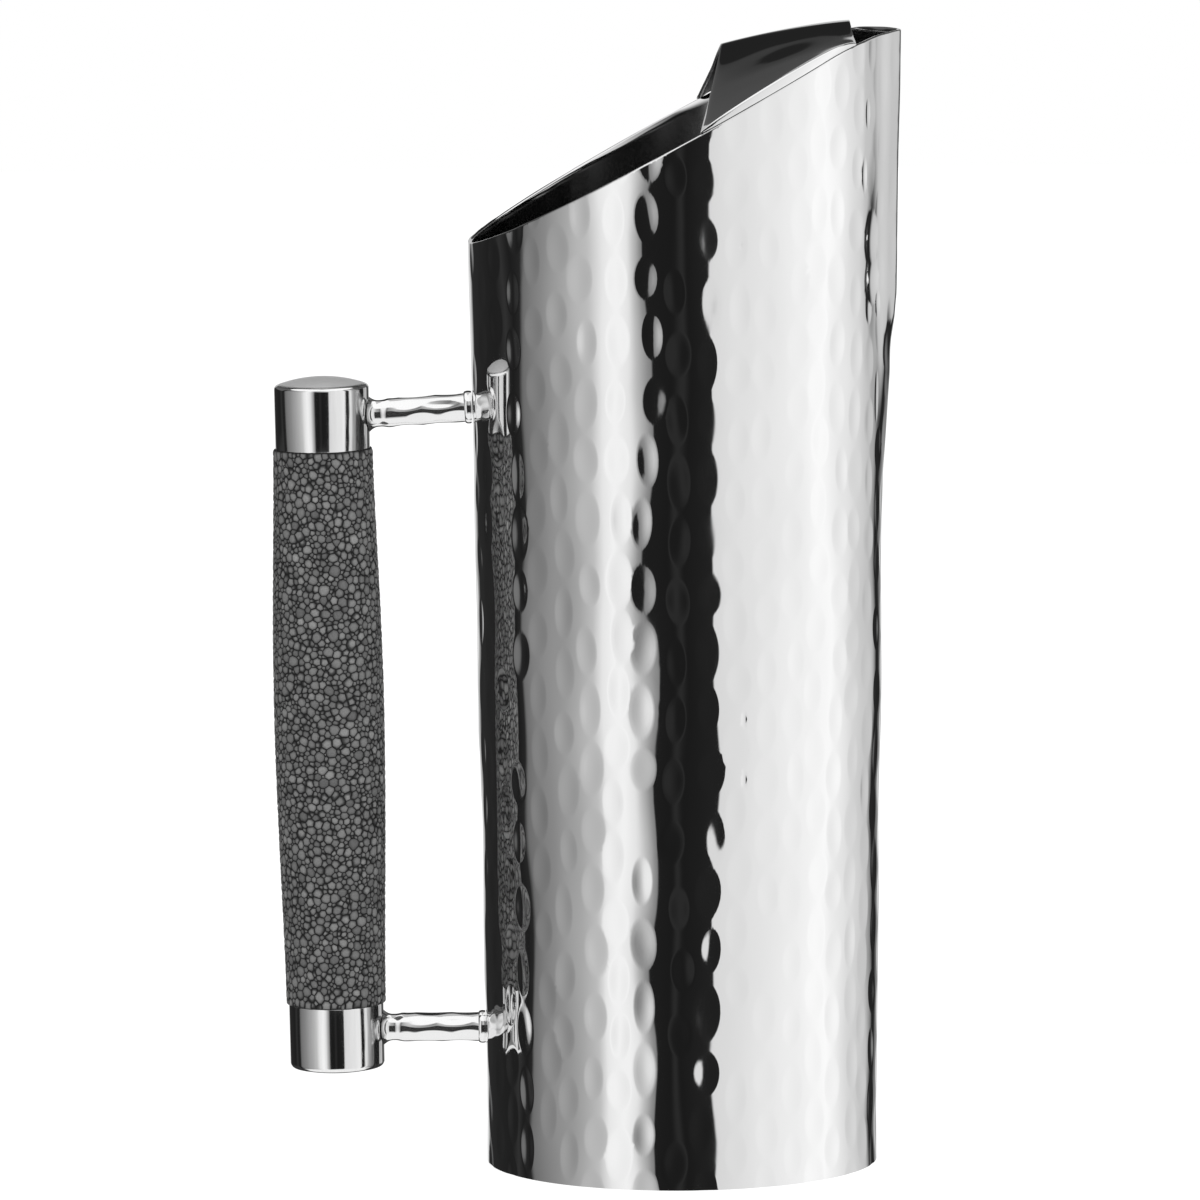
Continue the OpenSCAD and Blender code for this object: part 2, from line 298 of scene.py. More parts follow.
# Hammer marks
hammer = {
    "seed": 11,
    "columns": 42,
    "phase": 0.392,         # where the first column stands, as a share of their spacing
    "pitch": 16.0, "halfWidth": 3.7, "halfHeight": 7.4, "depth": 0.17,
    "sizeSpread": (0.82, 1.12), "depthSpread": (0.8, 1.25),
    "hollow": 1.5,          # 1 gives a blow a hard outline, 2 a soft one
    "lean": 0.1,            # how far a blow leans to one side over its height
    "drift": 0.1,           # how far a blow strays, as a share of its pitch
    "wander": 0.3,          # how far a whole column strays, as a share of their spacing
    "wanderSpan": 70.0,
    "wanderApart": 3.7,     # keeps the ways of two columns apart
    # columns that change on their way up: the heights between which they do, then how far they
    # stray, as a share of their spacing, and how hard they are struck, below and above
    "strays": {25: (120.0, 165.0, (-0.1, 1.6), (0.12, 1.6)),
               30: (188.0, 204.0, (-0.14, 0.74), (0.3, 1.1)),
               32: (74.0, 90.0, (-0.06, 0.95), (0.2, 0.5))},
    "missed": 0.04,
    "spoutShare": 0.3,      # depth of the marks on the spout
    "wave": 0.55, "waveWidth": 19.0, "waveHeight": 36.0,
    # fine ripples up the wall, left by the stretching of the sheet
    "ripple": 0.05, "rippleWidth": 6.5, "rippleHeight": 42.0,
    "waveStart": 12.0,      # both fade in over this height, so the foot stays round
    # pinched marks at both sides of the spout: angle, height, half height, half width, depth
    "pinches": [(24.8, 281.5, 4.8, 1.8, 0.21), (27.1, 265.5, 5.8, 1.9, 0.36),
                (20.8, 248.0, 8.6, 6.5, 0.54), (19.9, 237.5, 7.4, 6.8, 0.62),
                (22.6, 238.0, 3.8, 1.4, 0.74), (23.6, 248.5, 2.6, 1.0, 0.62),
                (22.8, 230.0, 4.6, 2.8, 0.24), (14.9, 231.0, 4.4, 1.9, 0.19),
                (3.5, 218.5, 8.0, 8.0, 0.48), (16.0, 206.0, 8.0, 1.8, 0.12),
                (72.0, 125.0, 2.6, 1.2, 0.2), (72.0, 109.0, 3.0, 1.2, 0.2),
                (72.8, 250.0, 3.2, 1.2, 0.2)],
}


# Blows in staggered columns, each with its angle, height, half width, half height, depth and lean
def strikeBlows(columns, pitch, length, width, height, depth, seed, phase=0.0, wander=0.0):
    draw = random.Random(seed)
    drift = hammer["drift"]
    turnStep = fullTurn / columns
    blows = []
    for column in range(columns):
        rows = {}
        z = (column % 2) * pitch / 2 - pitch * (1 + draw.uniform(-drift, drift))
        while z < length + pitch:
            z += pitch * (1 + draw.uniform(-drift, drift))
            stray = wander * noise.noise(Vector((column * hammer["wanderApart"],
                                                 z / hammer["wanderSpan"], seed)))
            force = 1.0
            if wander and column in hammer["strays"]:
                start, end, below, above = hammer["strays"][column]
                share = ease((z - start) / (end - start))
                stray += below[0] + (above[0] - below[0]) * share
                force = below[1] + (above[1] - below[1]) * share
            blow = ((column + phase + stray + draw.uniform(-drift, drift)) * turnStep,
                    z,
                    width * draw.uniform(*hammer["sizeSpread"]),
                    height * draw.uniform(*hammer["sizeSpread"]),
                    depth * force * draw.uniform(*hammer["depthSpread"]),
                    hammer["lean"] * draw.uniform(-1, 1))
            if draw.random() > hammer["missed"]:
                rows.setdefault(math.floor(z / pitch), []).append(blow)
        blows.append(rows)
    return {"columns": blows, "turnStep": turnStep, "pitch": pitch, "phase": phase}


# Every blow, with the list that holds it and its place there
def eachBlow(blows):
    for rows in blows["columns"]:
        for row in rows.values():
            for k, blow in enumerate(row):
                yield row, k, blow


# The blows about a place, each with how far off the place is in its half widths and half heights
def nearBlows(blows, angle, z, radius):
    columns = blows["columns"]
    near = round(angle / blows["turnStep"] - blows["phase"])
    row = math.floor(z / blows["pitch"])
    found = []
    for column in (near - 1, near, near + 1):
        rows = columns[column % len(columns)]
        for r in (row - 1, row, row + 1):
            for blow in rows.get(r, ()):
                turn, middle, width, height, _, lean = blow
                v = (z - middle) / height
                w = remainder(angle - turn, fullTurn) * radius / width - lean * v
                if w * w + v * v < 1:
                    found.append((w, v, blow))
    return found


# Depth of the deepest blow at a place, with its slopes round and up the wall
def blowDepth(near):
    hollow = hammer["hollow"]
    deepest = (0.0, 0.0, 0.0)
    for w, v, (_, _, width, height, depth, lean) in near:
        f = 1 - w * w - v * v
        if depth * f ** hollow > deepest[0]:
            steep = -2 * depth * hollow * f ** (hollow - 1)
            deepest = (depth * f ** hollow, steep * w / width, steep * (v - lean * w) / height)
    return deepest


bodyBlows = strikeBlows(hammer["columns"], hammer["pitch"], tipZ, hammer["halfWidth"],
                        hammer["halfHeight"], hammer["depth"], hammer["seed"],
                        hammer["phase"], hammer["wander"])
for row, k, (turn, z, width, height, depth, lean) in eachBlow(bodyBlows):
    if abs(remainder(turn, fullTurn)) < crease:
        share = 1 - (1 - hammer["spoutShare"]) * spoutShare(z)
        row[k] = (turn, z, width, height, depth * share, lean)
for degrees, z, height, width, depth in hammer["pinches"]:
    for turn in (-radians(degrees), radians(degrees)):
        column = round(turn / bodyBlows["turnStep"] - hammer["phase"]) % hammer["columns"]
        bodyBlows["columns"][column].setdefault(math.floor(z / hammer["pitch"]), []).append(
            (turn, z, width, height, depth, 0.0))


# Radius of the wall before it is hammered: no hand-worked tube is quite true
def waveRadius(angle, z):
    radius = coneRadius(z)

    def roll(width, height):
        return noise.noise(Vector((cos(angle) * radius / width, sin(angle) * radius / width,
                                   z / height)))

    inward = (hammer["wave"] * (0.5 + roll(hammer["waveWidth"], hammer["waveHeight"]))
              + hammer["ripple"] * (1 + roll(hammer["rippleWidth"], hammer["rippleHeight"])))
    return wallRadius(angle, z) - inward * clamp(z / hammer["waveStart"])


# Materials
def setInputs(node, values):
    for socket, value in values.items():
        node.inputs[socket].default_value = value


def addNode(tree, kind, inputs=None, **settings):
    node = tree.nodes.new(kind)
    for name, value in settings.items():
        setattr(node, name, value)
    setInputs(node, inputs or {})
    return node


def addNoise(tree, scale, detail, rough):
    return addNode(tree, "ShaderNodeTexNoise",
                   {"Scale": scale, "Detail": detail, "Roughness": rough})


# An even change from one span of values to another
def addRange(tree, span, levels):
    return addNode(tree, "ShaderNodeMapRange",
                   {1: span[0], 2: span[1], 3: levels[0], 4: levels[1]})


def addMath(tree, operation, factor=0.5):
    return addNode(tree, "ShaderNodeMath", {1: factor}, operation=operation)


# Links from a node and its output to a node and its input
def wire(tree, *links):
    for source, output, target, socket in links:
        tree.links.new(source.outputs[output], target.inputs[socket])


def newMaterial(name, values):
    material = bpy.data.materials.new(name)
    material.use_nodes = True
    shader = material.node_tree.nodes["Principled BSDF"]
    setInputs(shader, values)
    return material, material.node_tree, shader


polish = {
    "smudge": (38.0, 4.0, 0.55),    # scale, detail and roughness of the noise
    "smudgeSpan": (0.45, 0.75),
    "smudgeGloss": 0.06,
    "lines": (1.0, 3.0, 0.6),
    "lineSpan": (0.3, 0.7),
    "lineTone": 0.03,
    "reliefDepth": 0.05,
}


# Polishing marks: a slow change of tone, fine lines along one way, and a few soft smudges
def makePolishGroup():
    group = bpy.data.node_groups.new("polishMarks", "ShaderNodeTree")
    for way, kind, names in (("INPUT", "Float", ("Tone", "Gloss", "Marks")),
                             ("INPUT", "Vector", ("Stretch",)),
                             ("OUTPUT", "Color", ("Color",)),
                             ("OUTPUT", "Float", ("Roughness", "Height"))):
        for name in names:
            group.interface.new_socket(name=name, in_out=way, socket_type="NodeSocket" + kind)
    start = addNode(group, "NodeGroupInput")
    end = addNode(group, "NodeGroupOutput")
    place = addNode(group, "ShaderNodeTexCoord")
    stretch = addNode(group, "ShaderNodeVectorMath", operation="MULTIPLY")
    lines = addNoise(group, *polish["lines"])
    smudge = addNoise(group, *polish["smudge"])
    smudgeLevel = addRange(group, polish["smudgeSpan"], (0.0, 1.0))
    lineLevel = addRange(group, polish["lineSpan"], (-1.0, 1.0))
    toneShift = addMath(group, "MULTIPLY_ADD")
    lineShare = addMath(group, "MULTIPLY", polish["lineTone"])
    roughShift = addMath(group, "MULTIPLY_ADD")
    smudgeShare = addMath(group, "MULTIPLY", polish["smudgeGloss"])
    tint = addNode(group, "ShaderNodeCombineColor")
    wire(group,
         (place, "Object", stretch, 0), (start, "Stretch", stretch, 1),
         (stretch, 0, lines, 0), (place, "Object", smudge, 0),
         (smudge, 0, smudgeLevel, 0), (lines, 0, lineLevel, 0),
         (start, "Marks", lineShare, 0), (lineLevel, 0, toneShift, 0),
         (lineShare, 0, toneShift, 1), (start, "Tone", toneShift, 2),
         (start, "Marks", smudgeShare, 0), (smudgeLevel, 0, roughShift, 0),
         (smudgeShare, 0, roughShift, 1), (start, "Gloss", roughShift, 2),
         (toneShift, 0, tint, 0), (toneShift, 0, tint, 1), (toneShift, 0, tint, 2),
         (tint, 0, end, "Color"), (roughShift, 0, end, "Roughness"), (lines, 0, end, "Height"))
    return group


polishMarks = makePolishGroup()


def makeSteel(name, tone, gloss, marks, stretch, relief=0.0, metallic=1.0):
    material, tree, shader = newMaterial(name, {"Metallic": metallic})
    finish = addNode(tree, "ShaderNodeGroup", node_tree=polishMarks)
    setInputs(finish, {"Tone": tone, "Gloss": gloss, "Marks": marks, "Stretch": stretch})
    wire(tree, (finish, "Color", shader, "Base Color"), (finish, "Roughness", shader, "Roughness"))
    if relief:
        bump = addNode(tree, "ShaderNodeBump",
                       {"Strength": relief, "Distance": polish["reliefDepth"] * mm})
        wire(tree, (finish, "Height", bump, "Height"), (bump, "Normal", shader, "Normal"))
    return material


# Lets an attribute of the mesh move some of a steel's values between two levels
def varyWith(material, attribute, **levels):
    tree = material.node_tree
    value = addNode(tree, "ShaderNodeAttribute", attribute_name=attribute)
    for kind in ("GROUP", "BSDF_PRINCIPLED"):
        node = next(node for node in tree.nodes if node.type == kind)
        for socket, pair in levels.items():
            if socket in node.inputs and not node.inputs[socket].is_linked:
                level = addRange(tree, (0.0, 1.0), pair)
                wire(tree, (value, "Fac", level, 0), (level, 0, node, socket))


mirrorSteel = makeSteel("mirrorSteel", 0.88, 0.03, 0.5, (60, 60, 12))
# the inner wall is rougher and painted darker: its darker tone is painted shade for the dim inside
# of the body
varyWith(mirrorSteel, "inside", Tone=(0.88, 0.42), Gloss=(0.03, 0.16))
guardSteel = makeSteel("guardSteel", 0.86, 0.035, 0.6, (90, 90, 90))
# the guard's underside is rougher and painted darker: its darker tone is painted shade under the
# guard
varyWith(guardSteel, "inside", Tone=(0.86, 0.3), Gloss=(0.035, 0.3))
rodSteel = makeSteel("rodSteel", 0.88, 0.035, 0.6, (30, 200, 200), metallic=0.96)
capSteel = makeSteel("capSteel", 0.87, 0.08, 1.0, (900, 900, 60))
varyWith(capSteel, "crown", Gloss=(0.08, 0.36), Metallic=(1.0, 0.38))
baseSteel = makeSteel("baseSteel", 0.6, 0.3, 1.5, (40, 900, 900), relief=0.4)
cutSteel = makeSteel("cutSteel", 0.55, 0.28, 1.5, (900, 900, 900), relief=0.5)

wood = {
    "grain": (1.0, 5.0, 0.6),
    "stretch": (300, 300, 22),
    "dark": (0.28, 0.16, 0.08, 1),
    "pale": (0.5, 0.33, 0.18, 1),
    "roughness": 0.6,
}


def makeWood():
    material, tree, shader = newMaterial("turnedWood", {"Roughness": wood["roughness"]})
    place = addNode(tree, "ShaderNodeTexCoord")
    stretch = addNode(tree, "ShaderNodeMapping", {"Scale": wood["stretch"]})
    grain = addNoise(tree, *wood["grain"])
    ramp = addNode(tree, "ShaderNodeValToRGB")
    ramp.color_ramp.elements[0].color = wood["dark"]
    ramp.color_ramp.elements[1].color = wood["pale"]
    wire(tree, (place, "Object", stretch, 0), (stretch, 0, grain, 0), (grain, 0, ramp, 0),
         (ramp, 0, shader, "Base Color"))
    return material


# Shagreen: grey beads whose tops are rubbed paler, each bead with a tone of its own. Down the
# flanks into the grooves the colour is painted darker, as painted shade.
leather = {
    # the groove and shoulder tones darken the beads' flanks and grooves as painted shade
    "groove": (0.018, 0.018, 0.018, 1),
    "shoulder": (0.11, 0.11, 0.11, 1),
    "dullTop": (0.2, 0.2, 0.2, 1),
    "paleTop": (0.5, 0.5, 0.495, 1),
    "slope": (0.12, 0.6),           # bead heights of the groove's tone and the shoulder's
    "top": (0.5, 1.0),              # bead heights between which the top's tone takes over
    "mottle": (2600.0, 3.0, 0.6),
    "mottleSpan": (0.3, 0.7),
    "mottleTone": (0.85, 1.15),
    "roughness": (0.8, 0.42),
    "specular": 0.3,
    "relief": 0.3,
    "reliefDepth": 0.05,
}


def makeLeather():
    material, tree, shader = newMaterial("shagreen", {"Specular IOR Level": leather["specular"]})
    height = addNode(tree, "ShaderNodeAttribute", attribute_name="beadHeight")
    tone = addNode(tree, "ShaderNodeAttribute", attribute_name="beadTone")
    place = addNode(tree, "ShaderNodeTexCoord")
    mottle = addNoise(tree, *leather["mottle"])
    beadTop = addNode(tree, "ShaderNodeMix", data_type="RGBA")
    setInputs(beadTop, {6: leather["dullTop"], 7: leather["paleTop"]})
    # painted shade: the colour falls from the shoulder's tone to the groove's down into the
    # grooves
    ramp = addNode(tree, "ShaderNodeValToRGB")
    for stop, position, color in zip(ramp.color_ramp.elements, leather["slope"],
                                     (leather["groove"], leather["shoulder"])):
        stop.position = position
        stop.color = color
    topShare = addRange(tree, leather["top"], (0.0, 1.0))
    whole = addNode(tree, "ShaderNodeMix", data_type="RGBA")
    speck = addRange(tree, leather["mottleSpan"], leather["mottleTone"])
    final = addNode(tree, "ShaderNodeMix", {0: 1.0}, data_type="RGBA", blend_type="MULTIPLY")
    rough = addRange(tree, (0.0, 1.0), leather["roughness"])
    bump = addNode(tree, "ShaderNodeBump",
                   {"Strength": leather["relief"], "Distance": leather["reliefDepth"] * mm})
    wire(tree,
         (place, "Object", mottle, 0), (tone, "Fac", beadTop, 0), (height, "Fac", ramp, 0),
         (height, "Fac", topShare, 0), (topShare, 0, whole, 0), (ramp, 0, whole, 6),
         (beadTop, 2, whole, 7), (mottle, 0, speck, 0), (whole, 2, final, 6), (speck, 0, final, 7),
         (final, 2, shader, "Base Color"), (height, "Fac", rough, 0),
         (rough, 0, shader, "Roughness"), (mottle, 0, bump, "Height"),
         (bump, "Normal", shader, "Normal"))
    return material


shagreen = makeLeather()
turnedWood = makeWood()
print("materials ready")


# Carries the selected edge loop down, and inwards or outwards by a factor, leaving faces behind
def extrudeLoop(factor=1.0, drop=0.0):
    bpy.ops.mesh.extrude_edges_move(TRANSFORM_OT_translate={"value": (0, 0, drop)})
    if factor != 1.0:
        bpy.ops.transform.resize(value=(factor, factor, 1), center_override=(0, 0, 0))


# Place and true normal of a point of the outer wall
def wallPoint(angle, z):
    radius = coneRadius(z)
    half = body["slopeStep"] / 2
    depth, slopeRound, slopeUp = blowDepth(nearBlows(bodyBlows, angle, z, radius))
    swing = ((waveRadius(angle + half / radius, z) - waveRadius(angle - half / radius, z))
             / (2 * half) - slopeRound)
    rise = (waveRadius(angle, z + half) - waveRadius(angle, z - half)) / (2 * half) - slopeUp
    normal = Vector((cos(angle) + swing * sin(angle), sin(angle) - swing * cos(angle), -rise))
    return polar(waveRadius(angle, z) - depth, angle, z), normal.normalized()


# The outer wall is meshed flat, with rings of points on each blow so that its outline is crisp
def buildWall(rims):
    unroll, squash, sides = body["unroll"], body["squash"], body["sides"]
    across = round(fullTurn * unroll)
    tops = [rim - rimDrop for rim in rims]
    draw = random.Random(hammer["seed"] + 1)
    points = []
    boxes = {}

    def topAt(angle):
        share = (angle / fullTurn * sides) % sides
        k = int(share)
        return tops[k] + (tops[(k + 1) % sides] - tops[k]) * (share - k)

    # Lays a point unless it is too near another or an edge
    def lay(angle, z, room):
        angle = remainder(angle, fullTurn)
        if not body["footRoom"] < z < topAt(angle) - body["rimSupport"] - body["rimRoom"]:
            return
        u = angle * unroll
        v = z * squash
        i, j = math.floor(u), math.floor(v)
        reach = range(-math.ceil(room), math.ceil(room) + 1)
        for di in reach:
            for dj in reach:
                for otherU, otherV in boxes.get(((i + di) % across, j + dj), ()):
                    du = remainder(u - otherU, fullTurn * unroll)
                    if du * du + (v - otherV) ** 2 < room * room:
                        return
        boxes.setdefault((i % across, j), []).append((u, v))
        points.append((angle, z))

    edge = [remainder(k * fullTurn / sides, fullTurn) for k in range(sides)]
    points += zip(edge, tops)
    points += [(angle, 0.0) for angle in edge]
    points += [(angle, top - body["rimSupport"]) for angle, top in zip(edge, tops)]
    z = body["spoutStart"]
    while z < tipZ:
        for angle in (-crease, crease):
            lay(angle, z, body["pointRoom"])
        z += body["creaseRoom"]
    for ring, count in body["blowRings"]:
        for _, _, (turn, middle, width, height, depth, lean) in eachBlow(bodyBlows):
            own = depth * (1 - ring * ring) ** hammer["hollow"]
            for k in range(count):
                v = ring * sin(k / count * fullTurn)
                w = ring * cos(k / count * fullTurn) + lean * v
                z = middle + v * height
                radius = coneRadius(z)
                angle = turn + w * width / radius
                near = nearBlows(bodyBlows, angle, z, radius)
                if blowDepth(near)[0] < own + body["blowSlack"]:
                    lay(angle, z, body["pointRoom"])
    for room, region in ((body["spoutRoom"], True), (body["plainRoom"], False)):
        z = 0.0
        while z < tipZ:
            for k in range(math.floor(fullTurn * unroll / room)):
                angle = remainder((k + draw.uniform(0, body["scatter"])) * room / unroll, fullTurn)
                onSpout = abs(angle) < crease and z > body["spoutStart"] - body["spoutMargin"]
                if onSpout == region:
                    lay(angle, z + draw.uniform(0, body["scatter"]) * room,
                        room * body["crowding"])
            z += room * body["rowStep"] / squash

    flat = []
    owner = []
    for k, (angle, z) in enumerate(points):
        for turn in (-fullTurn, 0, fullTurn):
            if abs(angle + turn) < pi + body["seamOverlap"]:
                flat.append(Vector(((angle + turn) * unroll, z * squash)))
                owner.append(k)
    spots, _, triangles, origins, _, _ = delaunay_2d_cdt(flat, [], [], 0, netTolerance)
    faces = []
    for triangle in triangles:
        middle = sum(spots[i].x for i in triangle) / 3
        ids = [owner[origins[i][0]] for i in triangle]
        outside = all(k < sides for k in ids) or all(sides <= k < 2 * sides for k in ids)
        if -pi * unroll <= middle < pi * unroll and not outside:
            faces.append(ids)
    places = []
    slopes = []
    for k, (angle, z) in enumerate(points):
        place, normal = wallPoint(angle, z)
        places.append(place * mm)
        slopes.extend(normal if k >= 2 * sides else Vector())
    wall = newPiece("bodyShell", places, faces)
    store(wall, "slope", slopes, "FLOAT_VECTOR", "vector")
    store(wall, "inside", [0.0] * len(places))
    return wall


# The lining begins as a unit ring at the rim and is carried inwards, down and out at the foot
def buildBody():
    sides, innerUnit, rimSteps = body["sides"], 0.9, 4
    lining = add(bpy.ops.mesh.primitive_circle_add, vertices=sides, radius=1,
                 location=(0, 0, 0.5))
    bpy.ops.object.transform_apply(location=True, rotation=True, scale=True)
    choose(lining, "EDGE", lambda a, b: True)
    unit = 1.0
    for _ in range(rimSteps):
        nextUnit = unit - (1 - innerUnit) / rimSteps
        extrudeLoop(nextUnit / unit)
        unit = nextUnit
    extrudeLoop(drop=-1.0)
    extrudeLoop(1 / innerUnit)
    setMode(mode="OBJECT")
    edit(lining, "EDGE", isUpright, bpy.ops.mesh.subdivide, number_cuts=body["innerRows"] - 1)
    rims = [rimAt(k / sides * fullTurn) for k in range(sides)]
    # marks the inner wall, which the steel shows in a darker tone of painted shade
    inside = [float(vertex.co.xy.length < innerUnit + tiny and vertex.co.z < 0.5 - tiny)
              for vertex in lining.data.vertices]

    def place(co):
        column = round(atan2(co.y, co.x) / fullTurn * sides)
        angle = remainder(column / sides * fullTurn, fullTurn)
        rim = rims[column % sides]
        inward = (1 - hypot(co.x, co.y)) / (1 - innerUnit)   # 0 outside, 1 inside
        up = co.z + 0.5
        z = (1 - max(0.0, 1 - up) ** body["innerCrowding"]) * rim
        if up > 1 - tiny:
            z = rim - rimDrop * (1 - sin(pi * inward))
            inward = (1 - cos(pi * inward)) / 2
        outer = wallPoint(angle, z)[0].xy.length
        inner = (wallRadius(angle, z) - body["sheet"]
                 - body["innerGap"] * clamp(z / hammer["waveStart"] - 0.5))
        return polar(outer + (inner - outer) * inward, angle, z) * mm

    shape(lining, place)
    store(lining, "inside", inside)
    shell = joinPieces(buildWall(rims), lining)
    editAll(shell, bpy.ops.mesh.remove_doubles, threshold=tiny * mm)
    settle(shell, "bodyShell", "body_shell", mirrorSteel,
           body["sharpAngle"])
    # the true slope at each point of the wall, so that reflections run clean across the mesh
    slopes = shell.data.attributes["slope"]
    normals = [tuple(item.vector) for item in slopes.data]
    for k, vertex in enumerate(shell.data.vertices):
        out = vertex.co.xy.length / mm
        if vertex.co.z < tiny * mm and out > coneRadius(0) - body["sheet"] / 2:
            normals[k] = tuple(wallPoint(atan2(vertex.co.y, vertex.co.x), 0.0)[1])
    shell.data.attributes.remove(slopes)
    shell.data.normals_split_custom_set_from_vertices(normals)


buildBody()

# Ice guard
guard = {
    "sheet": 1.0,
    "mouthAngle": 83.8, "spoutAngle": 33.2,
    "flange": (0.35, 2.7),  # height at the ends and in the middle
    "flangeFullness": 0.6,  # below 1 it stays high for longer
    "bend": 0.9,
    "bendShare": 0.45,      # the most of the flange that the bend takes
    "ridgeBend": 4.0,
    "ridgeX": (12.3, 46.0), "ridgeLift": (16.8, 5.1), "ridgeBow": 0.65,
    "footGap": 0.3,
    "stations": 72, "flangeSteps": 2, "bendSteps": 6, "panelSteps": 18, "ridgeSteps": 4,
    "sag": 0.6,             # the panels hang a little between the ridge and the rim
    "panel": (0.25, 0.62),  # where a panel begins and how much of the half section it takes
    "wave": 0.45, "waveSpan": (27.0, 12.0), "waveSeed": 3.7,
    "waveFade": 4.0,        # how fast the wave dies out at both edges of a panel
    "waveEnd": 1.02,
    "edgeRound": 0.15,
    "edgeAngle": 50,
    "sharpAngle": 50,
}


def ridgePoint(t):
    (lowX, highX), (lowLift, highLift) = guard["ridgeX"], guard["ridgeLift"]
    low = rimHeightAt(lowX) + lowLift
    high = rimHeightAt(highX) + highLift
    return Vector((lowX + (highX - lowX) * t, 0,
                   low + (high - low) * t + guard["ridgeBow"] * 4 * t * (1 - t)))


def corner(start, peak, end, steps):
    shares = [i / steps for i in range(steps + 1)]
    return [start * (1 - t) ** 2 + peak * 2 * t * (1 - t) + end * t ** 2 for t in shares]


# Half of the guard's section at a share of its length, from the rim to the ridge
def guardSection(t):
    angle = radians(guard["mouthAngle"] + (guard["spoutAngle"] - guard["mouthAngle"]) * t)
    rim = rimAt(angle)
    foot = polar(wallRadius(angle, rim), -angle, rim + guard["footGap"])
    low, high = guard["flange"]
    flange = low + (high - low) * max(0.0, sin(pi * t)) ** guard["flangeFullness"]
    bendSize = min(guard["bend"], flange * guard["bendShare"])
    bend = foot + Vector((0, 0, flange))
    peak = ridgePoint(t)
    along = (peak - bend).normalized()
    bendStart = bend - Vector((0, 0, bendSize))
    bendEnd = bend + along * bendSize
    foldStart = peak - along * guard["ridgeBend"]
    foldPull = peak - along * guard["ridgeBend"] / 2
    top = Vector((peak.x, 0, foldPull.z))
    points = [foot.lerp(bendStart, i / guard["flangeSteps"]) for i in range(guard["flangeSteps"])]
    points += corner(bendStart, bend, bendEnd, guard["bendSteps"])
    points += [bendEnd.lerp(foldStart, i / guard["panelSteps"])
               for i in range(1, guard["panelSteps"])]
    points += corner(foldStart, foldPull, top, guard["ridgeSteps"])
    return points


def buildGuard():
    sections = [guardSection(i / guard["stations"]) for i in range(guard["stations"] + 1)]
    half = len(sections[0])
    last = 2 * half - 2
    roof = add(bpy.ops.mesh.primitive_grid_add, x_subdivisions=guard["stations"],
               y_subdivisions=last, size=1)
    spanX, spanY = guard["waveSpan"]
    start, width = guard["panel"]
    fade = guard["waveFade"]

    def place(co):
        j = round((co.y + 0.5) * last)
        near = min(j, last - j)
        point = sections[round((co.x + 0.5) * guard["stations"])][near].copy()
        if j >= half:
            point.y = -point.y
        share = near / (half - 1)
        sway = noise.noise(Vector((point.x / spanX, point.y / spanY, guard["waveSeed"])))
        panel = clamp((share - start) / width)
        point.z += (guard["wave"] * sway * min(1.0, fade * panel)
                    * min(1.0, fade * (guard["waveEnd"] - share))
                    - guard["sag"] * sin(pi * panel))
        return point * mm

    shape(roof, place)
    outer = len(roof.data.vertices)
    addModifier(roof, "SOLIDIFY", thickness=guard["sheet"] * mm, offset=-1.0,
                use_even_offset=True, use_quality_normals=True)
    # marks the underside, which the steel shows in a darker tone of painted shade
    store(roof, "inside", [float(k >= outer) for k in range(len(roof.data.vertices))])
    faceOut(roof)
    addModifier(roof, "BEVEL", width=guard["edgeRound"] * mm, segments=2,
                limit_method="ANGLE", angle_limit=radians(guard["edgeAngle"]))
    settle(roof, "iceGuard", "ice_guard", guardSteel, guard["sharpAngle"])


buildGuard()

# Handle frame
handle = {
    "reach": 39.5, "base": 24.1,
    "gripLength": 149.0,
    "capHeight": 18.5, "capDiameter": 25.2,
}
gripBottom = handle["base"] + handle["capHeight"]
gripTop = gripBottom + handle["gripLength"]
capRadius = handle["capDiameter"] / 2
handleFrame = (Matrix.Translation((-body["baseRadius"] - handle["reach"], 0, 0))
               @ Matrix.Rotation(-wallLean, 4, "Y"))


# The handle's frame at a height along it, tipped by an angle in radians
def handleAt(height, turn=0.0):
    return handleFrame @ Matrix.Translation((0, 0, height)) @ Matrix.Rotation(turn, 4, "Y")


# End caps
cap = {
    "sides": 160,
    "wall": 1.2,
    "upperHeight": 19.1, "upperCrown": 2.0, "upperEdge": 1.1,
    "lowerCrown": 1.3, "lowerEdge": 1.5,
    "edgeSteps": 8,
    "crownRings": 9,
    "mouthEdge": 0.2,
    "sharpAngle": 35,
}


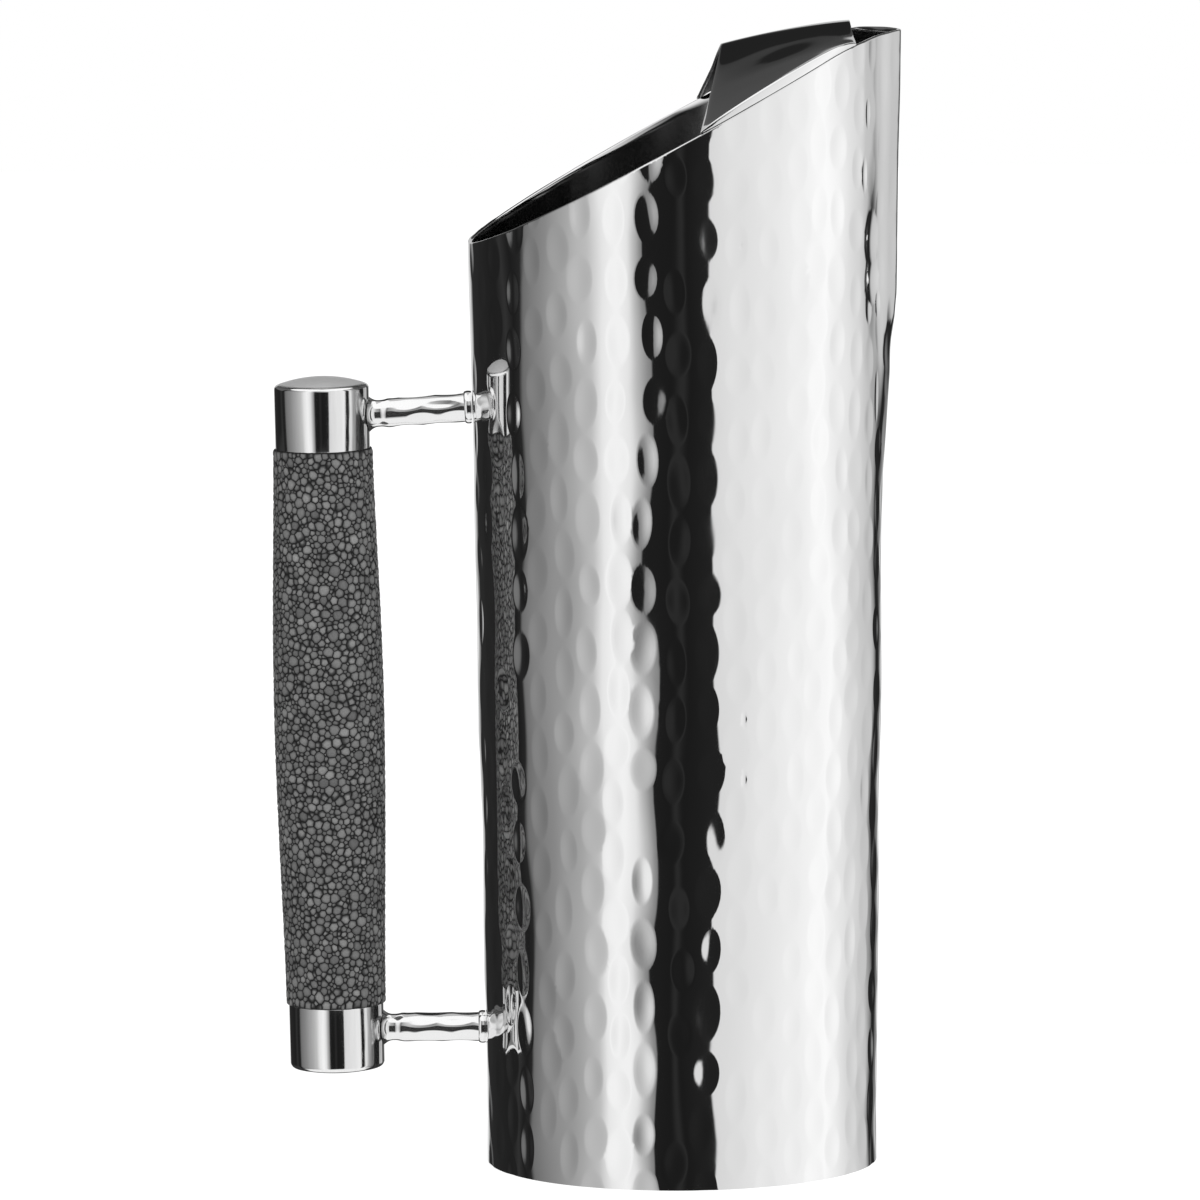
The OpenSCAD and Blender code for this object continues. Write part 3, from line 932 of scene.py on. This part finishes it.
# A cap with its mouth at the origin and its crown along +Z. The rounding of its edge runs
# smoothly into the crown.
def buildCap(name, node, height, crown, edge, frameMatrix):
    side = height - crown - edge
    flat = capRadius - edge
    edgeRun = (flat ** 2 + crown ** 2) / (2 * crown)
    domeRadius = edgeRun + edge
    turn = pi / 2 - asin(flat / edgeRun)
    meeting = flat + edge * cos(turn)
    inset = bpy.ops.mesh.inset
    piece = add(bpy.ops.mesh.primitive_cylinder_add, vertices=cap["sides"],
                radius=capRadius * mm, depth=side * mm, location=(0, 0, side / 2 * mm))
    bpy.ops.object.transform_apply(location=True, rotation=True, scale=True)
    choose(piece, "FACE", lambda middle, normal: normal.z < -0.9)
    inset(thickness=cap["wall"] * mm)
    bpy.ops.mesh.extrude_region_move(
        TRANSFORM_OT_translate={"value": (0, 0, (side + edge - cap["wall"]) * mm)})
    setMode(mode="OBJECT")
    edit(piece, "EDGE", lambda a, b: max(a.z, b.z) < tiny * mm, bpy.ops.mesh.bevel,
         offset=cap["mouthEdge"] * mm, segments=2, profile=0.5)
    choose(piece, "FACE", lambda middle, normal: normal.z > 0.9
           and middle.z > (side - tiny) * mm and middle.xy.length < tiny * mm)
    arc = [turn * k / cap["edgeSteps"] for k in range(cap["edgeSteps"] + 1)]
    for a, b in zip(arc, arc[1:]):
        inset(thickness=edge * (cos(a) - cos(b)) * mm)
    for _ in range(cap["crownRings"]):
        inset(thickness=meeting / (cap["crownRings"] + 1) * mm)
    setMode(mode="OBJECT")
    store(piece, "crown", [float(vertex.co.z > (side - tiny) * mm
                                 and vertex.co.xy.length < flat * mm)
                           for vertex in piece.data.vertices])

    def dome(co):
        out = co.xy.length / mm
        if abs(co.z / mm - side) < tiny and out < capRadius - tiny:
            if out > meeting:
                rise = sqrt(max(0.0, edge ** 2 - (out - flat) ** 2))
            else:
                rise = crown + edge - domeRadius + sqrt(domeRadius ** 2 - out ** 2)
            co = Vector((co.x, co.y, (side + rise) * mm))
        return frameMatrix @ (co / mm) * mm

    shape(piece, dome)
    settle(piece, name, node, capSteel, cap["sharpAngle"])


buildCap("upperCap", "upper_cap", cap["upperHeight"], cap["upperCrown"], cap["upperEdge"],
         handleAt(gripTop))
buildCap("lowerCap", "lower_cap", handle["capHeight"], cap["lowerCrown"], cap["lowerEdge"],
         handleAt(gripBottom) @ Matrix.Rotation(pi, 4, "X"))

# Posts and collars
post = {
    "diameter": 7.8,
    "upperOffset": 8.2, "lowerOffset": 6.7,
    "upperTilt": 3.7, "lowerTilt": 0.0,
    "flare": 9.4, "flareLength": 2.4, "neck": 7.1,
    "neckLength": 1.3,      # the neck widens again and the blows begin after these many lengths
    "blowStart": 2.0,       # of the flare, and the blows are full so far on
    "blowFade": 3.0,
    "sides": 64, "rows": 90,
    "blowColumns": 6, "blowPitch": 9.5,
    "blowWidth": 1.9, "blowHeight": 5.0, "blowDepth": 0.34,
    "wallSink": 0.2,        # the end is sunk below the hammered face
    "collarDiameter": 8.8, "collarLength": 1.6,
    "collarEdge": 1.0,
    "collarLip": 0.05,      # height at which the ring's edge begins over the post
    "collarSink": 0.02,     # how far the ring reaches into the post
    "collarDip": 0.12,      # how much the ring falls off again towards the body
    "collarRows": 16,
    "sharpAngle": 50,
}


def postFrame(height, tilt):
    return handleAt(height, pi / 2 + wallLean - radians(tilt))


# Where a line along a post meets the cap, and where it meets the wall of the body
def postStart(x, y, tilt):
    lean = wallLean - radians(tilt)
    return (sqrt(capRadius ** 2 - y ** 2) + x * sin(lean)) / cos(lean)


def postEnd(x, y, frameMatrix):
    z = handle["reach"]
    for _ in range(4):
        point = frameMatrix @ Vector((x, y, z))
        z += point.xy.length - (coneRadius(point.z) - post["wallSink"])
    return z


def postProfile(run):
    length = post["flareLength"]
    flare, neck, full = post["flare"] / 2, post["neck"] / 2, post["diameter"] / 2
    if run < length:
        return flare + (neck - flare) * (1 - (1 - run / length) ** 2)
    return neck + (full - neck) * ease((run - post["neckLength"] * length) / length)


def buildPost(name, node, height, tilt, seed):
    matrix = postFrame(height, tilt)
    rod = makeTube(post["sides"], post["rows"], 1.0)
    blows = strikeBlows(post["blowColumns"], post["blowPitch"], handle["reach"],
                        post["blowWidth"], post["blowHeight"], post["blowDepth"], seed)
    full = post["diameter"] / 2

    def place(co):
        start = postStart(co.x * full, co.y * full, tilt)
        end = postEnd(co.x * full, co.y * full, matrix)
        z = start + (end - start) * (co.z + 0.5)
        fade = clamp((z - start - post["blowStart"] * post["flareLength"]) / post["blowFade"])
        near = nearBlows(blows, atan2(co.y, co.x), z - capRadius, full)
        radius = postProfile(z - start) - fade * blowDepth(near)[0]
        return matrix @ Vector((co.x * radius, co.y * radius, z)) * mm

    shape(rod, place)
    editAll(rod, bpy.ops.mesh.fill_holes, sides=0)
    settle(rod, name, node, rodSteel, post["sharpAngle"])


def buildCollar(name, node, height, tilt):
    matrix = postFrame(height, tilt)
    outer = post["collarDiameter"] / 2
    inner = post["diameter"] / 2
    edge = post["collarEdge"]
    ring = joinPieces(makeTube(post["sides"], post["collarRows"], 1.0),
                      makeTube(post["sides"], post["collarRows"], 0.5))
    for way in (1, -1):
        edit(ring, "EDGE", lambda a, b: min(a.z * way, b.z * way) > 0.5 - tiny,
             bpy.ops.mesh.bridge_edge_loops)

    def place(co):
        outside = co.xy.length > 0.75
        way = co.xy.normalized()
        radius = outer if outside else inner - post["collarSink"]
        end = postEnd(way.x * radius, way.y * radius, matrix)
        start = handle["reach"] - post["collarLength"]
        run = (1 - cos((co.z + 0.5) * pi / 2)) * (end - start)
        past = (edge - run) / edge
        if outside and past > 0:
            radius -= (outer - inner - post["collarLip"]) * (1 - sqrt(1 - past ** 2))
        elif outside:
            radius -= post["collarDip"] * past ** 2
        return matrix @ Vector((way.x * radius, way.y * radius, start + run)) * mm

    shape(ring, place)
    settle(ring, name, node, rodSteel, post["sharpAngle"])


upper = (gripTop + post["upperOffset"], post["upperTilt"])
lower = (gripBottom - post["lowerOffset"], post["lowerTilt"])
buildPost("upperPost", "upper_post", *upper, 3)
buildPost("lowerPost", "lower_post", *lower, 8)
buildCollar("upperCollar", "upper_collar", *upper)
buildCollar("lowerCollar", "lower_collar", *lower)

# Shagreen grip
grip = {
    "endDiameter": 26.6, "fullDiameter": 29.5, "fullShare": 0.54, "swellPower": 1.5,
    "wrap": 1.0,
    "liningGap": 0.4,       # how much deeper than the leather's thickness its inner face lies
    "glueGap": 0.05,
    "foldRound": 0.3,
    "seed": 21,
    # bead radii, from the largest down, with how many darts are thrown for each
    "beads": [(1.15, 900), (1.0, 1500), (0.86, 3000), (0.7, 7000), (0.56, 16000), (0.45, 40000)],
    "beadSpread": (0.92, 1.08),
    "crowding": 0.95,
    "endRoom": 0.8,         # how near to the ends a bead may lie, as a share of its radius
    "boxSize": 2.4,
    "seamMargin": 6.0,
    "nudge": 1e-4,          # keeps the mirrored beads from lying exactly in line
    # the two rings on a bead: its share of the cell, how round it is, and its height
    "beadRings": ((0.88, 1.2, 0.66), (0.52, 0.7, 0.97)),
    "beadHeight": (0.55, 0.45, 0.9),    # of the smallest, gained up to, and the full radius
    "tone": (0.45, 0.22),
    "grooveDepth": 0.4,
    "innerSides": 96, "innerRows": 20,
    "sharpAngle": 80,
}
gripStart = gripBottom + grip["glueGap"]
gripSpan = handle["gripLength"] - 2 * grip["glueGap"]
gripGirth = pi * (grip["fullDiameter"] + grip["endDiameter"]) / 2


def gripRadius(t):
    full = grip["fullShare"]
    turn = 90 * t / full if t < full else 90 + 90 * (t - full) / (1 - full)
    swell = sin(radians(min(180.0, max(0.0, turn)))) ** grip["swellPower"]
    return grip["endDiameter"] / 2 + (grip["fullDiameter"] - grip["endDiameter"]) / 2 * swell


def beadsTouch(u, v, radius, otherU, otherV, otherRadius):
    du = abs(otherU - u)
    du = min(du, gripGirth - du)
    room = (otherRadius + radius) * grip["crowding"]
    return du * du + (otherV - v) ** 2 < room * room


# Beads of falling size, thrown on the unrolled sleeve where they don't touch the others
def throwBeads():
    draw = random.Random(grip["seed"])
    across = math.floor(gripGirth / grip["boxSize"])
    boxes = {}
    beads = []
    for size, darts in grip["beads"]:
        for _ in range(darts):
            radius = size * draw.uniform(*grip["beadSpread"])
            room = radius * grip["endRoom"]
            u = draw.uniform(0, gripGirth)
            v = draw.uniform(room, gripSpan - room)
            i = math.floor(u / (gripGirth / across))
            j = math.floor(v / grip["boxSize"])
            near = (bead for di in (-1, 0, 1) for dj in (-1, 0, 1)
                    for bead in boxes.get(((i + di) % across, j + dj), ()))
            if not any(beadsTouch(u, v, radius, *bead) for bead in near):
                boxes.setdefault((i, j), []).append((u, v, radius))
                beads.append((u, v, radius))
    return beads


# The cell about each bead: the corners that it shares with its neighbours, each with its number.
# Copies of the beads past the seam, and mirrored ones past both ends, close the cells.
def findCells(beads):
    margin, nudge = grip["seamMargin"], grip["nudge"]
    flat = []
    owner = []
    for turn in (0, -1, 1):
        for k, (u, v, radius) in enumerate(beads):
            for fold, level in ((0, v), (1, -v * (1 + nudge)),
                                (2, 2 * gripSpan - v * (1 - nudge))):
                near = -margin < u + turn * gripGirth < gripGirth + margin
                if near and -margin < level < gripSpan + margin:
                    flat.append(Vector((u + turn * gripGirth + fold * nudge * (k % 7), level)))
                    owner.append((k, fold, turn))
    spots, _, triangles, origins, _, _ = delaunay_2d_cdt(flat, [], [], 0, netTolerance)
    around = {}
    junctions = {}
    corners = []
    for triangle in triangles:
        ids = [owner[origins[i][0]] for i in triangle]
        if not any(fold == 0 and turn == 0 for _, fold, turn in ids):
            continue
        weights = [1 / beads[k][2] for k, _, _ in ids]
        total = sum(weights)
        u = sum(spots[i].x * w for i, w in zip(triangle, weights)) / total
        v = sum(spots[i].y * w for i, w in zip(triangle, weights)) / total
        folds = {fold for _, fold, _ in ids}
        if 1 in folds:
            v = 0.0
        if 2 in folds:
            v = gripSpan
        key = tuple(sorted((k, fold) for k, fold, _ in ids))
        if key not in junctions:
            junctions[key] = len(corners)
            corners.append((u % gripGirth, v))
        for k, fold, turn in ids:
            if fold == 0 and turn == 0:
                around.setdefault(k, []).append((junctions[key], u, v))
    return corners, around


def buildGrip():
    beads = throwBeads()
    verts, around = findCells(beads)
    heights = [0.0] * len(verts)
    tones = [0.0] * len(verts)
    polygons = []
    draw = random.Random(grip["seed"] + 1)
    least, gain, fullBead = grip["beadHeight"]
    for k, (cu, cv, radius) in enumerate(beads):
        cells = sorted(around[k], key=lambda c: atan2(c[2] - cv, c[1] - cu))
        tone = clamp(draw.gauss(*grip["tone"]))
        inside = min(abs((c[1] - cu) * sin(a) - (c[2] - cv) * cos(a))
                     for c, d in zip(cells, cells[1:] + cells[:1])
                     for a in [atan2(d[2] - c[2], d[1] - c[1])])
        rings = [[c[0] for c in cells]]
        for share, roundness, level in grip["beadRings"]:
            rings.append([])
            for _, u, v in cells:
                du, dv = u - cu, v - cv
                length = hypot(du, dv)
                pull = min(share, roundness * inside / length) if length else share
                rings[-1].append(len(verts))
                verts.append((cu + du * pull, cv + dv * pull))
                heights.append(level * min(1.0, least + gain * radius / fullBead))
                tones.append(tone)
        for low, high in zip(rings, rings[1:]):
            polygons += zip(low, low[1:] + low[:1], high[1:] + high[:1], high)
        polygons.append(rings[-1])

    def place(u, v, height):
        past = grip["foldRound"] - min(v, gripSpan - v)
        drop = grip["foldRound"] - sqrt(grip["foldRound"] ** 2 - past ** 2) if past > 0 else 0.0
        radius = gripRadius(v / gripSpan) - grip["grooveDepth"] * (1 - height) * (1 - drop) - drop
        return handleFrame @ polar(radius, u / gripGirth * fullTurn, gripStart + v) * mm

    sleeve = newPiece("gripWrap", [place(u, v, h) for (u, v), h in zip(verts, heights)], polygons)
    store(sleeve, "beadHeight", heights)
    store(sleeve, "beadTone", tones)
    lining = makeTube(grip["innerSides"], grip["innerRows"], 1.0)

    def placeLining(co):
        up = co.z + 0.5
        radius = gripRadius(up) - grip["wrap"] - grip["liningGap"]
        return handleFrame @ Vector((co.x * radius, co.y * radius, gripStart + gripSpan * up)) * mm

    shape(lining, placeLining)
    joinPieces(sleeve, lining)
    back = handleFrame.inverted()
    for level in (gripStart, gripStart + gripSpan):
        edit(sleeve, "EDGE", lambda a, b: max(abs((back @ (end / mm)).z - level)
                                              for end in (a, b)) < tiny,
             bpy.ops.mesh.bridge_edge_loops)
    settle(sleeve, "gripWrap", "grip_wrap", shagreen, grip["sharpAngle"])
    print(len(beads), "beads")


buildGrip()

# Pieces kept from the frame
for node, material in (("base_disc", baseSteel), ("upper_insert", cutSteel),
                       ("lower_insert", cutSteel), ("tie_rod", cutSteel),
                       ("grip_core", turnedWood)):
    for obj in bpy.context.scene.objects:
        if obj.get("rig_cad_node") == node:
            obj.data.materials.clear()
            obj.data.materials.append(material)

# Floor and studio. Bearings go round the object, in degrees from the camera towards the spout.
studio = {
    # bearings with the level of the light from there
    "ring": [
        (-180, 0.87), (-170, 0.82), (-164, 0.66), (-159, 0.16), (-122, 0.12),
        (-114, 0.19), (-107, 0.11), (-101, 0.15), (-98, 0.42),
        (-80, 0.53), (-62, 0.65), (-50, 0.74), (-42, 0.9), (-33, 0.95), (-26, 0.89),
        (-23, 0.76), (-18, 0.54), (-15, 0.42), (18, 0.84), (50, 0.9), (75, 0.94), (92, 0.98),
        (104, 0.92), (120, 0.83), (140, 0.74), (144, 0.55), (147, 0.12), (154, 0.15),
        (158, 0.42), (165, 0.56), (171, 0.8), (180, 0.87),
    ],
    "overhead": (42.0, 50.0), "overheadLevel": 0.99,
    # dark panel at the camera: from and to which bearing and height, how soft its edges are
    "stripe": (-16.5, 18.5, 0.5), "stripeHeight": (-32.0, 18.0, 2.0),
    "stripeTones": [(-17.0, 0.115), (-6.0, 0.1), (-2.0, 0.17), (2.0, 0.1), (19.0, 0.13)],
    # behind the object the paper turns from white to grey
    "paper": (158.0, 166.0), "horizon": (-4.0, 2.0), "horizonLevel": 0.73,
    # dark panel high behind the object, paler towards its foot
    "flagAway": (108.0, 112.0), "flag": (11.0, 48.0, 1.5),
    "flagLean": (1.1, 165.0),   # how much lower it darkens at each degree past a bearing
    "flagTones": [(10.0, 0.36), (18.0, 0.3), (26.0, 0.27), (31.2, 0.22), (32.0, 0.13),
                  (60.0, 0.125)],
    "lowFlag": (-52.0, -16.0, 3.0), "lowFlagLevel": 0.2,    # dark floor behind the object
    "ground": (-46.0, -34.0), "groundLevel": 0.93,
    "fill": 0.62,
    "steelTone": 0.88,
    "key": {"place": (0.9, -1.6, 0.9), "aim": (-0.05, 0, 0.13), "size": 0.9, "power": 6.0},
    "floorSize": 6, "floorTone": 0.5, "floorGlow": 0.8,
}


# A level as the polished steel shows it, which takes its share of the light
def grey(level):
    linear = ((level + 0.055) / 1.055) ** 2.4 if level > 0.04045 else level / 12.92
    return (linear / studio["steelTone"],) * 3 + (1,)


def buildWorld():
    world = bpy.data.worlds.new("studio")
    bpy.context.scene.world = world
    world.use_nodes = True
    tree = world.node_tree
    tree.nodes.clear()

    # Gives each input a value, or the output of another node
    def feed(node, inputs):
        for slot, value in inputs.items():
            if isinstance(value, bpy.types.NodeSocket):
                tree.links.new(value, node.inputs[slot])
            else:
                node.inputs[slot].default_value = value
        return node

    def work(operation, a, b=0.0, c=0.0):
        node = addNode(tree, "ShaderNodeMath", operation=operation)
        return feed(node, {0: a, 1: b, 2: c}).outputs[0]

    # 0 below the first bearing or height, 1 above the second, smooth between
    def step(value, low, high):
        node = addNode(tree, "ShaderNodeMapRange", interpolation_type="SMOOTHSTEP")
        return feed(node, {0: value, 1: low, 2: high}).outputs[0]

    def window(value, low, high, soft):
        return work("MULTIPLY", step(value, low - soft, low + soft),
                    work("SUBTRACT", 1.0, step(value, high - soft, high + soft)))

    def mix(share, a, b):
        node = addNode(tree, "ShaderNodeMix", data_type="RGBA")
        return feed(node, {0: share, 6: a, 7: b}).outputs[2]

    # Levels given at some degrees, with even changes between them
    def tones(value, steps, low, span):
        ramp = addNode(tree, "ShaderNodeValToRGB")
        stops = ramp.color_ramp.elements
        stops.remove(stops[-1])
        stops[0].position = (steps[0][0] - low) / span
        stops[0].color = grey(steps[0][1])
        for degrees, level in steps[1:]:
            stops.new((degrees - low) / span).color = grey(level)
        return feed(ramp, {0: work("MULTIPLY_ADD", value, 1 / span, -low / span)}).outputs[0]

    way = addNode(tree, "ShaderNodeTexCoord")
    parts = feed(addNode(tree, "ShaderNodeSeparateXYZ"), {0: way.outputs["Generated"]}).outputs
    bearing = work("MULTIPLY", work("ARCTAN2", parts[0], work("MULTIPLY", parts[1], -1.0)),
                   180 / pi)
    height = work("MULTIPLY", work("ARCSINE", parts[2]), 180 / pi)
    away = work("ABSOLUTE", bearing)

    light = mix(step(height, *studio["overhead"]), tones(bearing, studio["ring"], -180, 360),
                grey(studio["overheadLevel"]))
    stripe = work("MULTIPLY", window(bearing, *studio["stripe"]),
                  window(height, *studio["stripeHeight"]))
    light = mix(stripe, light, tones(bearing, studio["stripeTones"], -180, 360))
    paper = work("MULTIPLY", step(away, *studio["paper"]), step(height, *studio["horizon"]))
    light = mix(paper, light, grey(studio["horizonLevel"]))
    behind = step(away, *studio["flagAway"])
    slope, start = studio["flagLean"]
    lean = work("MULTIPLY_ADD", away, slope, -start * slope)
    light = mix(work("MULTIPLY", behind, window(height, *studio["flag"])), light,
                tones(work("ADD", height, lean), studio["flagTones"], 0, 90))
    light = mix(work("SUBTRACT", 1.0, step(height, *studio["ground"])), light,
                grey(studio["groundLevel"]))
    light = mix(work("MULTIPLY", behind, window(height, *studio["lowFlag"])), light,
                grey(studio["lowFlagLevel"]))
    path = addNode(tree, "ShaderNodeLightPath")
    light = mix(path.outputs["Is Diffuse Ray"], light, (studio["fill"],) * 3 + (1,))
    light = mix(path.outputs["Is Camera Ray"], light, (1, 1, 1, 1))
    background = feed(addNode(tree, "ShaderNodeBackground"), {0: light})
    wire(tree, (background, 0, addNode(tree, "ShaderNodeOutputWorld"), 0))


def buildFloor():
    floor = add(bpy.ops.mesh.primitive_plane_add, size=studio["floorSize"])
    floor.name = "floor"
    floor.visible_glossy = False
    material, tree, shader = newMaterial("paleFloor", {
        "Base Color": (studio["floorTone"],) * 3 + (1,), "Roughness": 1.0,
        "Specular IOR Level": 0.0, "Emission Color": (1, 1, 1, 1)})
    glow = addMath(tree, "MULTIPLY", studio["floorGlow"])
    wire(tree, (addNode(tree, "ShaderNodeLightPath"), "Is Camera Ray", glow, 0),
         (glow, 0, shader, "Emission Strength"))
    floor.data.materials.append(material)


def buildKeyLamp():
    key = add(bpy.ops.object.light_add, type="AREA", location=studio["key"]["place"])
    key.name = "keyLamp"
    key.data.size = studio["key"]["size"]
    key.data.energy = studio["key"]["power"]
    key.visible_glossy = False
    aim = Vector(studio["key"]["aim"]) - key.location
    key.rotation_euler = aim.to_track_quat("-Z", "Y").to_euler()


buildWorld()
buildFloor()
buildKeyLamp()

# Camera
view = {
    "elevation": 7.0818, "roll": -0.3955,
    "lens": 366.04, "sensor": 36.0,
    "distance": 3263.85, "right": -21.98, "up": 149.12,
    "clip": (0.1, 50),      # metres
}


def buildCamera():
    rise = radians(view["elevation"])
    roll = radians(view["roll"])
    back = Vector((0, -cos(rise), sin(rise)))
    level = Vector((1, 0, 0))
    upright = back.cross(level)
    right = level * cos(roll) + upright * sin(roll)
    up = upright * cos(roll) - level * sin(roll)
    place = (right * view["right"] + up * view["up"] + back * view["distance"]) * mm
    data = bpy.data.cameras.new("camera")
    data.lens = view["lens"]
    data.sensor_width = view["sensor"]
    data.clip_start, data.clip_end = view["clip"]
    camera = bpy.data.objects.new("camera", data)
    bpy.context.scene.collection.objects.link(camera)
    camera.matrix_world = Matrix(list(zip(right, up, back, place)) + [(0, 0, 0, 1)])
    bpy.context.scene.camera = camera


buildCamera()
bpy.context.scene.view_settings.view_transform = "Standard"
print("studio and camera ready")
